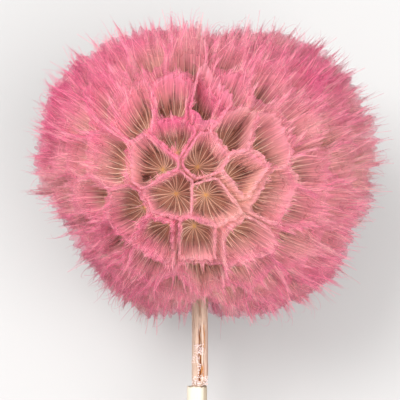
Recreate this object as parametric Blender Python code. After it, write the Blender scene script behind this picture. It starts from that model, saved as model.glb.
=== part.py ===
"""A dried seed head of goat's-beard, the big cousin of the dandelion, lying on its side.

A ball of feathery fruits stands on a receptacle at the top of a short dried stem, whose lower end is pushed
into a hollow reed that lengthens it. Everything is modelled in the head's own frame, in metres: the origin
is the middle of the ball, +Y runs up the stem's axis and out of the top of the ball, and +Z is the side that
faces up when the head lies down. One empty then lays that frame on the ground, so that the underside of the
ball and the end of the reed both rest at z = 0.
"""

import math

import bmesh
import bpy
import numpy as np
from mathutils import Matrix, Vector

# The ball of fruits.
HEAD_RADIUS = 0.048  # to the ends of the pappus hairs, across the stem's axis
UPPER_FLATTEN, LOWER_FLATTEN = 0.885, 0.93  # the ball's height along the stem's axis, over its width
UPPER_POWER = 2.65  # of the ball's outline: 2 is an ellipse, and more is squarer
LEFT_POWER, RIGHT_POWER = 1.6, 2.2  # of its lower half, at -X and at +X
LEAN = (0.0019, 0.0015, 0.0)  # by which the hairs' ends, pressed to one side, are off the ball's middle
LYING_HEIGHT = 0.046  # of the ball's middle, a little less than its radius because its hairs give
TIP_RADIUS = 0.0325  # where a fruit's beak ends and its pappus opens
BOWL_RADIUS = 0.0375  # where the pappus turns up from a bowl into an upright wall
BOWL_SHARE = 0.84  # of its cell that the bowl fills there
CELL_GAP = 0.0002  # from a pappus to the edge of its own cell, so neighbours stay 0.4 mm apart
WALL = 0.0005  # thickness of the pappus at the bowl's edge; it thins to nothing at the rim
WIDEST_CELL = math.radians(9.5)
LOWEST_FRUIT = math.radians(148)  # from the top of the ball; below it the stem comes out
GROUPS, GROUP_SIZE = 48, 4
GROUP_SPREAD = math.radians(10.5)  # from the middle of a group of fruits to each of them
GOLDEN_TURN = math.pi * (3 - math.sqrt(5))  # from each group to the next about the stem's axis
CORNERS = 6  # of a pappus and of a fruit's section
TRIAL_TURNS = 8  # of those corners about the fruit, of which the one that opens widest is kept
PUSHES = 200  # steps in which the fruits push each other apart
PUSH, LONGEST_PUSH = 0.00002, 0.01  # how strongly they do at each step, and its limit
# Longitude and latitude of the four groups that face up: the rest settle around them.
HELD_GROUPS = (
    ((-1.2, 5.8), (2.8, -7.4), (-11.4, -6.8), (-17.4, 4.6)),
    ((-3.0, -23.5), (-16.0, -22.5), (11.7, -23.2), (-2.0, -38.0)),
    ((-12.7, 22.6), (7.8, 26.7), (-25.5, 20.1), (-8.0, 42.0)),
    ((20.9, 11.0), (21.3, -6.0), (33.0, -10.0), (38.0, 2.0)),
)

# One fruit: its seed body, then the thin beak that carries the pappus.
FRUIT_RADII = (0.0005, 0.00065, 0.00027, 0.00027)  # at the foot, belly, neck and beak's tip
FRUIT_PLACES = (0.0, 0.28, 0.56, 1.0)  # of those along the fruit
FOOT_SPREAD = 0.00035  # from the foot of a group to the middle of each one's own foot
FOOT_STEP = 0.018  # by which each in a group stands higher than the one before, as a share of its radius
BOWL_FLOOR = 0.0006  # height of the pappus's middle over the beak's tip

# The receptacle that carries the fruits, and the bracts that hang from its underside.
RECEPTACLE_RADIUS = 0.006
RECEPTACLE_BANDS = 7  # of its dome, from near its top to the lowest feet
RECEPTACLE_SIDES = 16
LOWEST_FOOT = math.radians(112)  # where on the receptacle the lowest fruits stand
SEAT_GAP = 0.0003
NECK_Y = -0.0044  # underside of the receptacle, where the stem begins
SHOULDER = (0.0040, -0.0036)  # radius and height where its underside turns in to the stem
BRACT_LENGTHS = (0.036, 0.033, 0.029, 0.035, 0.030, 0.034, 0.028, 0.032)
BRACT_TOP_Y = -0.0035
BRACT_TOP_RADIUS, BRACT_TIP_RADIUS = 0.0046, 0.0030  # of its inner face about the stem's axis
BRACT_BULGE, BULGE_RUN = 0.0007, 0.4  # how far it bows out below its fold, over what share of its length
BRACT_HUG = 0.8  # power with which it closes in on the stem: under 1 it does so near its fold
BRACT_WIDTH, BRACT_TIP_WIDTH = 0.0026, 0.0003
BRACT_THICKNESS = 0.0004
BRACT_STEPS = 9

# The stem and the reed.
NECK_RADIUS = 0.00255  # of the receptacle, where it meets the stem
STEM_TOP_RADIUS = 0.00215
STEM_END_RADIUS = 0.00245
STEM_END_Y = -0.0588  # the shoulder that sits on the reed
PEG_RADIUS, PEG_TIP_RADIUS = 0.00145, 0.0014
PEG_END_Y = -0.072
SPLIT_TOP_Y = -0.0428  # a split runs from here to the shoulder, on the side that faces up
SPLIT_DEPTH = 0.0011
SPLIT_RUN = 0.006  # over which it reaches that depth
STEM_SIDES = 14
STEM_BANDS = 5  # above the split's top, and again below it
REED_RADIUS = 0.003
REED_BORE = 0.0018
REED_X = -0.00095  # the reed stands a little to one side of the stem
REED_TOP_Y = -0.0592
REED_END_Y = -0.148
REED_SLANT = 0.05  # fall of its top per metre towards -X
REED_SIDES = 12

CREASE = math.radians(40)  # faces that meet at a larger angle than this meet in a sharp edge
PINK, STRAW = (0.82, 0.33, 0.42), (0.62, 0.42, 0.30)
CREAM, BROWN = (0.90, 0.83, 0.70), (0.42, 0.24, 0.15)


def clear_scene():
    for old in list(bpy.data.objects):
        bpy.data.objects.remove(old)


def finish(name, colour, roughness):
    """A Principled BSDF material of one colour."""
    made = bpy.data.materials.new(name)
    made.use_nodes = True
    shader = made.node_tree.nodes["Principled BSDF"]
    shader.inputs["Base Color"].default_value = (*colour, 1)
    shader.inputs["Roughness"].default_value = roughness
    shader.inputs["Metallic"].default_value = 0
    return made


def add_piece(name, points, faces, material, lying):
    """A closed mesh as an object that lies down with the head, its faces turned outwards."""
    mesh = bpy.data.meshes.new(name)
    mesh.from_pydata([tuple(p) for p in points], [], faces)
    shell = bmesh.new()
    shell.from_mesh(mesh)
    bmesh.ops.recalc_face_normals(shell, faces=shell.faces)
    shell.to_mesh(mesh)
    shell.free()
    mesh.materials.append(material)
    mesh.shade_smooth()
    mesh.set_sharp_from_angle(angle=CREASE)
    piece = bpy.data.objects.new(name, mesh)
    bpy.context.scene.collection.objects.link(piece)
    piece.parent = lying
    return piece


def loft(rings, last_point=None, rim=None):
    """Points and faces of a skin over rings of equal size: the first is capped, and the last is too, or it
    closes on a point. Past the ring numbered rim the skin runs back inside a wall, with matching creases."""
    sides = len(rings[0])
    points = [p for ring in rings for p in ring]
    faces = [tuple(range(sides))]
    for k in range(len(rings) - 1):
        for a in range(sides):
            b = (a + 1) % sides
            here, there = k * sides, (k + 1) * sides
            if rim is not None and k >= rim:
                faces += [(here + a, here + b, there + a), (here + b, there + b, there + a)]
            else:
                faces += [(here + a, here + b, there + b), (here + a, there + b, there + a)]
    top = (len(rings) - 1) * sides
    if last_point is None:
        faces.append(tuple(range(top, top + sides)))
    else:
        points.append(last_point)
        faces += [(top + a, top + (a + 1) % sides, len(points) - 1) for a in range(sides)]
    return points, faces


def direction(longitude, latitude):
    """Unit vector: longitude turns from +Z to +X about the stem's axis, latitude rises to +Y. In radians."""
    level = math.cos(latitude)
    return np.array((level * math.sin(longitude), math.sin(latitude), level * math.cos(longitude)))


def across(d):
    """Two unit vectors at right angles to d and to each other."""
    first = np.cross(d, (0.0, 1.0, 0.0) if abs(d[1]) < 0.9 else (1.0, 0.0, 0.0))
    first /= np.linalg.norm(first)
    return first, np.cross(d, first)


def ball_point(radius, d, tilt):
    """The point along the unit vector d on the ball of that radius, which is full above, tapers to the stem
    and does so less at +X, leans more the further out it is, and is flat where it lies on the ground."""
    level = math.hypot(d[0], d[2])
    if d[1] > 0:
        power, flatten = UPPER_POWER, UPPER_FLATTEN
    else:
        power, flatten = LEFT_POWER + (RIGHT_POWER - LEFT_POWER) * (1 + d[0]) / 2, LOWER_FLATTEN
    outline = (level**power + abs(d[1] / flatten) ** power) ** (1 / power)
    lean = np.array(LEAN) * (radius - TIP_RADIUS) / (HEAD_RADIUS - TIP_RADIUS)
    up = np.array((0.0, math.sin(tilt), math.cos(tilt)))
    far = radius / outline
    if d @ up < 0:
        far = min(far, (LYING_HEIGHT + lean @ up) / -(d @ up))
    return d * far + lean


def group_directions():
    """Directions of the groups' middles, which lie evenly spaced on a spiral."""
    heights = [1 - (k + 0.5) / GROUPS * (1 - math.cos(LOWEST_FRUIT)) for k in range(GROUPS)]
    return np.array([direction(GOLDEN_TURN * k, math.asin(height)) for k, height in enumerate(heights)])


def fruit_directions(middles):
    """Directions of all the fruits, group after group. Each group sets out its fruits around its middle, and
    then the fruits push each other apart like equal charges. The groups that face up are held, and none goes
    lower than the stem allows."""
    low = math.cos(LOWEST_FRUIT)
    fruits = []
    for k, middle in enumerate(middles):
        u, v = across(middle)
        for n in range(GROUP_SIZE):
            turn = GOLDEN_TURN * k + n * math.tau / GROUP_SIZE
            out = math.cos(turn) * u + math.sin(turn) * v
            fruits.append(math.cos(GROUP_SPREAD) * middle + math.sin(GROUP_SPREAD) * out)
    fruits = np.array(fruits)
    held = np.array([[direction(*np.radians(angles)) for angles in group] for group in HELD_GROUPS])
    kept = [int(np.argmax(middles @ group.mean(axis=0))) for group in held]
    for _ in range(PUSHES):
        fruits.reshape(GROUPS, GROUP_SIZE, 3)[kept] = held
        away = fruits[:, None] - fruits[None]
        gap = np.linalg.norm(away, axis=2) + np.eye(len(fruits))
        push = PUSH * (away / gap[..., None] ** 4).sum(axis=1)
        push *= np.minimum(1, LONGEST_PUSH / np.linalg.norm(push, axis=1))[:, None]
        fruits += push
        fruits /= np.linalg.norm(fruits, axis=1)[:, None]
        level = np.linalg.norm(fruits[:, (0, 2)], axis=1)
        under = fruits[:, 1] < low
        fruits[under, 0] *= math.sin(LOWEST_FRUIT) / level[under]
        fruits[under, 2] *= math.sin(LOWEST_FRUIT) / level[under]
        fruits[under, 1] = low
    return fruits


def cell_edge(fruits, own, out):
    """Angle from a fruit's direction, along the unit vector out, to the plane midway to its nearest one."""
    d = fruits[own]
    towards = fruits @ out
    ahead = towards > 1e-6
    return min(WIDEST_CELL, math.atan(((1 - fruits[ahead] @ d) / towards[ahead]).min()))


def foot_point(d):
    """Where on the receptacle a fruit or a group that points along d stands: the lowest are drawn up to its
    rim."""
    polar = math.acos(max(-1.0, min(1.0, d[1])))
    foot = polar * LOWEST_FOOT / LOWEST_FRUIT
    level = math.hypot(d[0], d[2])
    ring = (RECEPTACLE_RADIUS + SEAT_GAP) * math.sin(foot) / max(level, 1e-9)
    return np.array((d[0] * ring, (RECEPTACLE_RADIUS + SEAT_GAP) * math.cos(foot), d[2] * ring))


def fruit_skin(fruits, own, foot, tilt):
    """Points and faces of one fruit, from its foot up the seed body and beak, out along the underside of the
    pappus to its rim, and back down the inside to the middle of the bowl."""
    d = fruits[own]
    u, v = across(d)
    starts = [s * math.tau / CORNERS / TRIAL_TURNS for s in range(TRIAL_TURNS)]
    turns = [[s + k * math.tau / CORNERS for k in range(CORNERS)] for s in starts]
    outs = [[math.cos(t) * u + math.sin(t) * v for t in row] for row in turns]
    edges = [[cell_edge(fruits, own, out) for out in row] for row in outs]
    best = max(range(len(edges)), key=lambda n: sum(edges[n]))
    outs, edges = outs[best], edges[best]
    tip = ball_point(TIP_RADIUS, d, tilt)
    rings = []
    for place, radius in zip(FRUIT_PLACES, FRUIT_RADII):
        middle = foot + (tip - foot) * place
        rings.append([middle + radius * out for out in outs])
    # The foot is cut to stand flat on the receptacle.
    normal = foot / np.linalg.norm(foot)
    rings[0] = [p - normal * ((p - foot) @ normal) for p in rings[0]]

    def ring(radius, share, inset):
        points = []
        for out, edge in zip(outs, edges):
            angle = edge * share - (CELL_GAP + inset) / radius
            points.append(ball_point(radius, math.cos(angle) * d + math.sin(angle) * out, tilt))
        return points

    rings.append(ring(BOWL_RADIUS, BOWL_SHARE, 0))
    rings.append(ring(HEAD_RADIUS, 1, 0))
    rings.append(ring(BOWL_RADIUS + WALL, BOWL_SHARE, WALL))
    return loft(rings, last_point=tip + d * BOWL_FLOOR, rim=len(rings) - 2)


def add_group(number, middle, fruits, tilt, material, lying):
    """Neighbouring fruits, joined where they share a foot on the receptacle."""
    own = range(GROUP_SIZE * number, GROUP_SIZE * (number + 1))
    shared = foot_point(middle)
    name = f"seed_group_{number + 1:02d}"
    parts = []
    for k, fruit in enumerate(own):
        aside = foot_point(fruits[fruit]) - shared
        foot = shared * (1 + k * FOOT_STEP) + aside * (FOOT_SPREAD / np.linalg.norm(aside))
        points, faces = fruit_skin(fruits, fruit, foot, tilt)
        parts.append(add_piece(f"{name}_{k}", points, faces, material, lying))
    whole = parts[0]
    whole.name = name
    for part in parts[1:]:
        part.hide_render = True
        part.display_type = "WIRE"
        join = whole.modifiers.new("join " + part.name, "BOOLEAN")
        join.operation = "UNION"
        join.object = part
    return whole


def turned(profile, sides, centre_x=0.0):
    """Rings about the stem's axis for a profile of (radius, y) pairs. One corner points to -Z."""
    turns = [math.pi + k * math.tau / sides for k in range(sides)]
    return [
        [(centre_x + radius * math.sin(t), y, radius * math.cos(t)) for t in turns]
        for radius, y in profile
    ]


def add_receptacle(material, lying):
    """A knob that is domed where the fruits stand and drawn in to the stem below."""
    arcs = [LOWEST_FOOT * (k + 1) / RECEPTACLE_BANDS for k in range(RECEPTACLE_BANDS)]
    profile = [(RECEPTACLE_RADIUS * math.sin(a), RECEPTACLE_RADIUS * math.cos(a)) for a in arcs]
    profile += [SHOULDER, (NECK_RADIUS, NECK_Y)]
    points, faces = loft(turned(profile, RECEPTACLE_SIDES))
    return add_piece("receptacle", points, faces, material, lying)


def add_bract(number, length, material, lying):
    """A narrow leaf that folds back from the receptacle's underside and lies along the stem."""
    turn = math.tau * number / len(BRACT_LENGTHS)
    sections = []
    for k in range(BRACT_STEPS):
        along = k / (BRACT_STEPS - 1)
        y = BRACT_TOP_Y - length * along
        bulge = BRACT_BULGE * math.sin(math.pi * min(1, along / BULGE_RUN))
        radius = BRACT_TOP_RADIUS + (BRACT_TIP_RADIUS - BRACT_TOP_RADIUS) * along**BRACT_HUG + bulge
        width = BRACT_TIP_WIDTH + (BRACT_WIDTH - BRACT_TIP_WIDTH) * (1 - along**2)
        section = []
        for side, rise in ((-1, 0), (0, 0), (1, 0), (1, 1), (0, 1), (-1, 1)):
            angle = turn + side * width / 2 / radius
            out = radius + rise * BRACT_THICKNESS
            section.append((out * math.sin(angle), y, out * math.cos(angle)))
        sections.append(section)
    points, faces = loft(sections)
    return add_piece(f"bract_{number + 1}", points, faces, material, lying)


def add_stem(material, lying):
    """The dried stem: round, split open near its foot, and whittled to a peg inside the reed."""
    top = NECK_Y - SEAT_GAP
    above = np.linspace(top, SPLIT_TOP_Y, STEM_BANDS, endpoint=False)
    below = np.linspace(SPLIT_TOP_Y, STEM_END_Y, STEM_BANDS + 1)
    rings = []
    for y in (*above, *below):
        share = (y - top) / (STEM_END_Y - top)
        radius = STEM_TOP_RADIUS + (STEM_END_RADIUS - STEM_TOP_RADIUS) * share
        ring = turned([(radius, y)], STEM_SIDES)[0]
        if y < SPLIT_TOP_Y:
            x, _, z = ring[STEM_SIDES // 2]
            deep = SPLIT_DEPTH * min(1, (SPLIT_TOP_Y - y) / SPLIT_RUN)
            ring[STEM_SIDES // 2] = (x, y, z - deep)
        rings.append(ring)
    rings += turned([(PEG_RADIUS, STEM_END_Y), (PEG_TIP_RADIUS, PEG_END_Y)], STEM_SIDES, REED_X)
    points, faces = loft(rings)
    return add_piece("flower_stem", points, faces, material, lying)


def add_reed(material, lying):
    """A hollow reed, open at both ends, its top cut a little aslant."""
    top_outer, end_outer = turned([(REED_RADIUS, REED_TOP_Y), (REED_RADIUS, REED_END_Y)], REED_SIDES, REED_X)
    top_inner, end_inner = turned([(REED_BORE, REED_TOP_Y), (REED_BORE, REED_END_Y)], REED_SIDES, REED_X)
    top_outer = [(x, y + REED_SLANT * (x - REED_X - REED_RADIUS), z) for x, y, z in top_outer]
    top_inner = [(x, y + REED_SLANT * (x - REED_X - REED_RADIUS), z) for x, y, z in top_inner]
    rings = [top_outer, end_outer, end_inner, top_inner]
    points = [p for ring in rings for p in ring]
    faces = []
    for k in range(4):
        for a in range(REED_SIDES):
            b = (a + 1) % REED_SIDES
            here, there = k * REED_SIDES, (k + 1) % 4 * REED_SIDES
            faces.append((here + a, here + b, there + b, there + a))
    return add_piece("reed_sleeve", points, faces, material, lying)


def lie_down(lying, pieces, tilt):
    """Turns the head so that ball and reed touch the ground, with the middle of its box over the origin."""
    turn = Matrix.Rotation(tilt, 4, "X")
    places = np.array([turn @ v.co for piece in pieces for v in piece.data.vertices])
    middle = (places.min(axis=0) + places.max(axis=0)) / 2
    lying.matrix_world = Matrix.Translation(Vector((-middle[0], -middle[1], LYING_HEIGHT))) @ turn


def main():
    clear_scene()
    lying = bpy.data.objects.new("lying_head", None)
    bpy.context.scene.collection.objects.link(lying)
    # The reed's lowest corner and the ball's underside are level: its length and radius give the slope.
    slope = LYING_HEIGHT / math.hypot(REED_END_Y, REED_RADIUS)
    tilt = math.asin(slope) - math.atan2(REED_RADIUS, -REED_END_Y)
    pappus = finish("pink pappus", PINK, 0.8)
    straw = finish("dried stem", STRAW, 0.7)
    middles = group_directions()
    fruits = fruit_directions(middles)
    for number, middle in enumerate(middles):
        add_group(number, middle, fruits, tilt, pappus, lying)
    add_receptacle(finish("receptacle", BROWN, 0.85), lying)
    bract_brown = finish("dry bract", BROWN, 0.75)
    for number, length in enumerate(BRACT_LENGTHS):
        add_bract(number, length, bract_brown, lying)
    add_stem(straw, lying)
    add_reed(finish("cream reed", CREAM, 0.6), lying)
    lie_down(lying, [o for o in bpy.data.objects if o.type == "MESH"], tilt)


main()
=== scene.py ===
import math

import bpy
import numpy as np
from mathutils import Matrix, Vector


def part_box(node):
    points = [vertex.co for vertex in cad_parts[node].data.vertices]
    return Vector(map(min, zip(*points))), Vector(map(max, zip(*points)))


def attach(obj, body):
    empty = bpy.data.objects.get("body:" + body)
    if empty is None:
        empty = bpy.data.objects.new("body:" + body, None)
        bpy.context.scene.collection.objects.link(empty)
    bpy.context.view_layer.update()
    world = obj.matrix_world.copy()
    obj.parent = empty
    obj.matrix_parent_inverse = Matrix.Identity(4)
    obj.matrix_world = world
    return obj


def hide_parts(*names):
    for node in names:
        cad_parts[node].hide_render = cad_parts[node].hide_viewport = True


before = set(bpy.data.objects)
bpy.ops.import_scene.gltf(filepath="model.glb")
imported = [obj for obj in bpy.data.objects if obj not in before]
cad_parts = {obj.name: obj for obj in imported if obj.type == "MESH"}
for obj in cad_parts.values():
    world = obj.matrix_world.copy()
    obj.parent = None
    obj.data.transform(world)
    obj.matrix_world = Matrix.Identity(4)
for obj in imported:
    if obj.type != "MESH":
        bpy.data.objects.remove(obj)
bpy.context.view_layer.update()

# The head lies on its side. Its own axes: x to the right, y up the stem and out of the ball's top, z the side
# that faces up. The reed is a straight tube and the receptacle a round knob about the ball's middle, so their
# boxes say how the head slopes and where it lies.
reedLow, reedHigh = (np.array(corner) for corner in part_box("reed_sleeve"))
knobLow, knobHigh = (np.array(corner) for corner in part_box("receptacle"))
stemLow, stemHigh = (np.array(corner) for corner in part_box("flower_stem"))
reedRadius = (reedHigh[0] - reedLow[0]) / 2
knobRadius = (knobHigh[0] - knobLow[0]) / 2
tilt, tiltRounds = 0.3, 12  # a first guess, and how often it is improved
for step in range(tiltRounds):
    # slope = atan(box height less the tube's own height / box length less the tube's own length)
    rise = reedHigh[2] - reedLow[2] - 2 * reedRadius * math.cos(tilt)
    run = reedHigh[1] - reedLow[1] - 2 * reedRadius * math.sin(tilt)
    tilt = math.atan2(rise, run)
headMiddle = np.array(((knobLow[0] + knobHigh[0]) / 2, knobHigh[1] - knobRadius, knobHigh[2] - knobRadius))
headAxes = np.array((
    (1, 0, 0),
    (0, math.cos(tilt), math.sin(tilt)),
    (0, -math.sin(tilt), math.cos(tilt)),
))
reedX = (reedLow[0] + reedHigh[0]) / 2 - headMiddle[0]
print(f"head lies at a slope of {math.degrees(tilt):.2f} degrees, middle at", headMiddle.round(4))

headShape = {
    "radius": 0.048,  # to the ends of most hairs, across the stem
    "flatten": (0.885, 0.93),  # height over width of the upper and the lower half
    "upperPower": 2.65,  # of the upper half's outline, 2 for an ellipse
    "lowerPower": (1.6, 2.2),  # of the lower half's, on the left and on the right
    "lean": (0.0019, 0.0015, 0.0),  # by which the hairs' ends are off the middle
    "beakTip": 0.0325,  # where the beaks end and the pappuses open
    "groups": 48,
    "groupSize": 4,
    "groupSpread": 10.5,  # degrees from the middle of a group to each of its fruits
    "heldGroups": (  # longitude and latitude of the fruits that face up
        ((-1.2, 5.8), (2.8, -7.4), (-11.4, -6.8), (-17.4, 4.6)),
        ((-3.0, -23.5), (-16.0, -22.5), (11.7, -23.2), (-2.0, -38.0)),
        ((-12.7, 22.6), (7.8, 26.7), (-25.5, 20.1), (-8.0, 42.0)),
        ((20.9, 11.0), (21.3, -6.0), (33.0, -10.0), (38.0, 2.0)),
    ),
    "lowest": 148,  # degrees from the top of the ball
    "lowestFoot": 112,  # and where those fruits stand on the receptacle
    "widestCell": 10.5,  # degrees from the middle of a pappus to its edge, at most
    "pushes": 200,
    "push": 0.00002,
    "longestPush": 0.01,
}


def alongStem(worldY, z):
    # y along the stem of a point with this world y that stands z above the stem's axis:
    # (world y - the middle's + z * sin(tilt)) / cos(tilt)
    return (worldY - headMiddle[1] + z * math.sin(tilt)) / math.cos(tilt)


def toWorld(points):
    # place = head's middle + x, y and z along the head's own axes
    return headMiddle + points @ headAxes


def onFloor(points, give=0.0004, lowest=0.00012):
    # height = lowest + give * log(1 + exp((height - lowest) / give)), so that hairs bend along the floor
    bent = points.copy()
    bent[..., 2] = lowest + give * np.logaddexp(0, (points[..., 2] - lowest) / give)
    return bent


parting = {
    "from": -0.027,  # y where the hair starts to part round the stem, and where it is parted
    "to": -0.038,
    "push": 0.0012,
    "width": 0.0030,
    "core": 0.0004,  # half width of the strip where it turns from one side to the other
    "rise": 0.004,  # z over which it comes in, up from the ball's middle
}


def parted(points):
    # x moves away from the stem by push * tanh(x / core) * exp(-(x / width)^2), more and more down the front
    # of the ball: * (y - from) / (to - from) * z / rise, each of them between 0 and 1
    x, y, z = (points[..., k] for k in range(3))
    share = np.clip((y - parting["from"]) / (parting["to"] - parting["from"]), 0, 1)
    share = share * np.clip(z / parting["rise"], 0, 1)
    aside = np.exp(-((x / parting["width"]) ** 2))
    moved = points.copy()
    moved[..., 0] = x + share * parting["push"] * np.tanh(x / parting["core"]) * aside
    return moved


def laid(points):
    # hair as it lies: parted round the stem and bent where it meets the floor
    return onFloor(toWorld(parted(points)))


def unit(vectors):
    return vectors / np.linalg.norm(vectors, axis=-1, keepdims=True)


def crosswise(d):
    # two unit vectors at right angles to d and to each other
    helper = np.where(np.abs(d[..., 1:2]) < 0.9, (0.0, 1.0, 0.0), (1.0, 0.0, 0.0))
    first = unit(np.cross(d, helper))
    return first, np.cross(d, first)


def ballPoint(far, towards):
    # towards * far / (level^power + (upright / flatten)^power)^(1 / power), plus the lean, which grows with
    # far. The lower half's power goes from left to right, left + (right - left) * (1 + x) / 2.
    beakTip, (left, right) = headShape["beakTip"], headShape["lowerPower"]
    upper = towards[..., 1] > 0
    power = np.where(upper, headShape["upperPower"], left + (right - left) * (1 + towards[..., 0]) / 2)
    level = np.hypot(towards[..., 0], towards[..., 2])
    upright = np.abs(towards[..., 1]) / np.where(upper, *headShape["flatten"])
    outline = (level**power + upright**power) ** (1 / power)
    lean = ((far - beakTip) / (headShape["radius"] - beakTip))[..., None] * np.array(headShape["lean"])
    return towards * (far / outline)[..., None] + lean


golden = math.pi * (3 - math.sqrt(5))  # turn from each group to the next


def lookAlong(longitude, latitude):
    # unit vector: longitude turns from z to x about the stem, latitude rises to y
    level = np.cos(latitude)
    return np.stack((level * np.sin(longitude), np.sin(latitude), level * np.cos(longitude)), -1)


def groupDirections():
    # turn = golden angle * k, height = 1 - (k + 0.5) / groups * (1 - lowest)
    k = np.arange(headShape["groups"])
    low = math.cos(math.radians(headShape["lowest"]))
    return lookAlong(golden * k, np.arcsin(1 - (k + 0.5) / len(k) * (1 - low)))


def fruitDirections(middles):
    # The fruits stand round their groups' middles; then every fruit moves by push * sum of (difference /
    # distance^4) until they stand evenly apart. Held groups stay put.
    low = math.cos(math.radians(headShape["lowest"]))
    spread = math.radians(headShape["groupSpread"])
    groups, size = headShape["groups"], headShape["groupSize"]
    k = np.arange(groups)
    u, v = crosswise(middles)
    turns = (golden * k[:, None] + np.arange(size) * math.tau / size)[..., None]
    outs = np.cos(turns) * u[:, None] + np.sin(turns) * v[:, None]
    fruits = (math.cos(spread) * middles[:, None] + math.sin(spread) * outs).reshape(-1, 3)
    held = np.radians(headShape["heldGroups"])
    held = lookAlong(held[..., 0], held[..., 1])
    kept = [int(np.argmax(middles @ group.mean(axis=0))) for group in held]
    for step in range(headShape["pushes"]):
        fruits.reshape(groups, size, 3)[kept] = held
        away = fruits[:, None] - fruits[None]
        gap = np.linalg.norm(away, axis=2) + np.eye(len(fruits))
        push = headShape["push"] * (away / gap[..., None] ** 4).sum(axis=1)
        push *= np.minimum(1, headShape["longestPush"] / np.linalg.norm(push, axis=1))[:, None]
        fruits = unit(fruits + push)
        under = fruits[:, 1] < low
        level = np.linalg.norm(fruits[:, ::2], axis=1)
        fruits[under, ::2] *= (math.sqrt(1 - low**2) / level[under])[:, None]
        fruits[under, 1] = low
    return fruits


middles = groupDirections()
fruits = fruitDirections(middles)
print(len(fruits), "fruits stand evenly apart")


def placed(name, data):
    # an object for a mesh, a lamp or a camera, put in the scene
    holder = bpy.data.objects.new(name, data)
    bpy.context.scene.collection.objects.link(holder)
    return holder


def newMesh(name, points, triangles, attributes, materials, slots, soft):
    # One mesh object from whole arrays, with a value or a vector per point for each attribute. It takes light
    # like fluff: its shading normal is its own normal + soft * the direction out of the head.
    mesh = bpy.data.meshes.new(name)
    mesh.vertices.add(len(points))
    mesh.vertices.foreach_set("co", np.ascontiguousarray(points, dtype=np.float32).ravel())
    mesh.loops.add(triangles.size)
    mesh.loops.foreach_set("vertex_index", np.ascontiguousarray(triangles, dtype=np.int32).ravel())
    mesh.polygons.add(len(triangles))
    mesh.polygons.foreach_set("loop_start", np.arange(0, triangles.size, 3, dtype=np.int32))
    mesh.polygons.foreach_set("material_index", np.ascontiguousarray(slots, dtype=np.int32))
    mesh.update(calc_edges=True)
    normals = np.empty(points.size, dtype=np.float32)
    mesh.vertex_normals.foreach_get("vector", normals)
    outward = unit(points - headMiddle) * soft[:, None]
    attributes = {**attributes, "custom_normal": unit(normals.reshape(-1, 3) + outward)}
    for key, values in attributes.items():
        kind, slot = ("FLOAT_VECTOR", "vector") if values.ndim == 2 else ("FLOAT", "value")
        layer = mesh.attributes.new(key, kind, "POINT")
        layer.data.foreach_set(slot, np.ascontiguousarray(values, dtype=np.float32).ravel())
    mesh.update()
    for material in materials:
        mesh.materials.append(material)
    return placed(name, mesh)


class Bundle:
    # Gathers points and triangles until they become one mesh. Each point has a tone (its place on the colour
    # ramp), a vary (how bright its strand is), a pale (how little dye it took, and below 0 how strongly painted
    # shade darkens it in streaks, standing for the shadowed inside of the head), a grain (where the fine
    # pattern is read) and a softness.
    def __init__(self):
        self.points, self.triangles, self.slots, self.count = [], [], [], 0
        self.tones, self.varies, self.pales, self.grains, self.softs = [], [], [], [], []

    def add(self, points, triangles, tone, vary, soft=0.0, pale=0.0, grain=(0.0, 0.0, 0.0), slot=0):
        self.points.append(points.reshape(-1, 3))
        self.triangles.append(triangles.reshape(-1, 3) + self.count)
        self.slots.append(np.broadcast_to(slot, triangles.size // 3))
        for gathered, values in (
            (self.tones, tone), (self.varies, vary), (self.pales, pale), (self.softs, soft)
        ):
            gathered.append(np.broadcast_to(values, points.shape[:-1]).ravel())
        self.grains.append(np.broadcast_to(grain, points.shape).reshape(-1, 3))
        self.count += points.size // 3

    def piece(self, name, materials):
        points, triangles, slots, tones, varies, pales, softs, grains = (
            np.concatenate(gathered)
            for gathered in (
                self.points, self.triangles, self.slots,
                self.tones, self.varies, self.pales, self.softs, self.grains,
            )
        )
        attributes = {"tone": tones, "vary": varies, "pale": pales, "grain": grains}
        return newMesh(name, points, triangles, attributes, materials, slots, softs)


def wrappedQuads(rows, columns):
    # two triangles for each cell of a grid whose last column meets its first
    k, c = np.meshgrid(np.arange(rows - 1), np.arange(columns), indexing="ij")
    here, beside = k * columns + c, k * columns + (c + 1) % columns
    pairs = (here, beside, beside + columns, here, beside + columns, here + columns)
    return np.stack(pairs, -1).reshape(-1, 3)


def repeated(one, many, size):
    # one shape's triangles for each of many: corner + size * the shape's number
    return one[None] + (np.arange(many) * size)[:, None, None]


def tubes(paths, radii, sides):
    # Round tubes along many paths at once: point = path + radius * (cos(turn) * a + sin(turn) * b), where a
    # and b stand at right angles to the path. paths is (tubes, steps, 3), radii broadcasts to (tubes, steps).
    many, steps = paths.shape[:2]
    along = unit(np.gradient(paths, axis=1) + 1e-12)
    a, b = crosswise(along.mean(axis=1, keepdims=True))
    a = unit(a - along * (a * along).sum(-1, keepdims=True))
    b = np.cross(along, a)
    turns = np.arange(sides) * math.tau / sides
    ring = np.cos(turns)[:, None] * a[:, :, None] + np.sin(turns)[:, None] * b[:, :, None]
    wide = np.broadcast_to(radii, (many, steps))[..., None, None]
    points = paths[:, :, None] + wide * ring
    fan = np.arange(1, sides - 1)
    bottom = np.stack((0 * fan, fan + 1, fan), -1)
    top = np.stack((0 * fan, fan, fan + 1), -1) + (steps - 1) * sides
    one = np.concatenate((wrappedQuads(steps, sides), bottom, top))
    return points, repeated(one, many, steps * sides)


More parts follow.
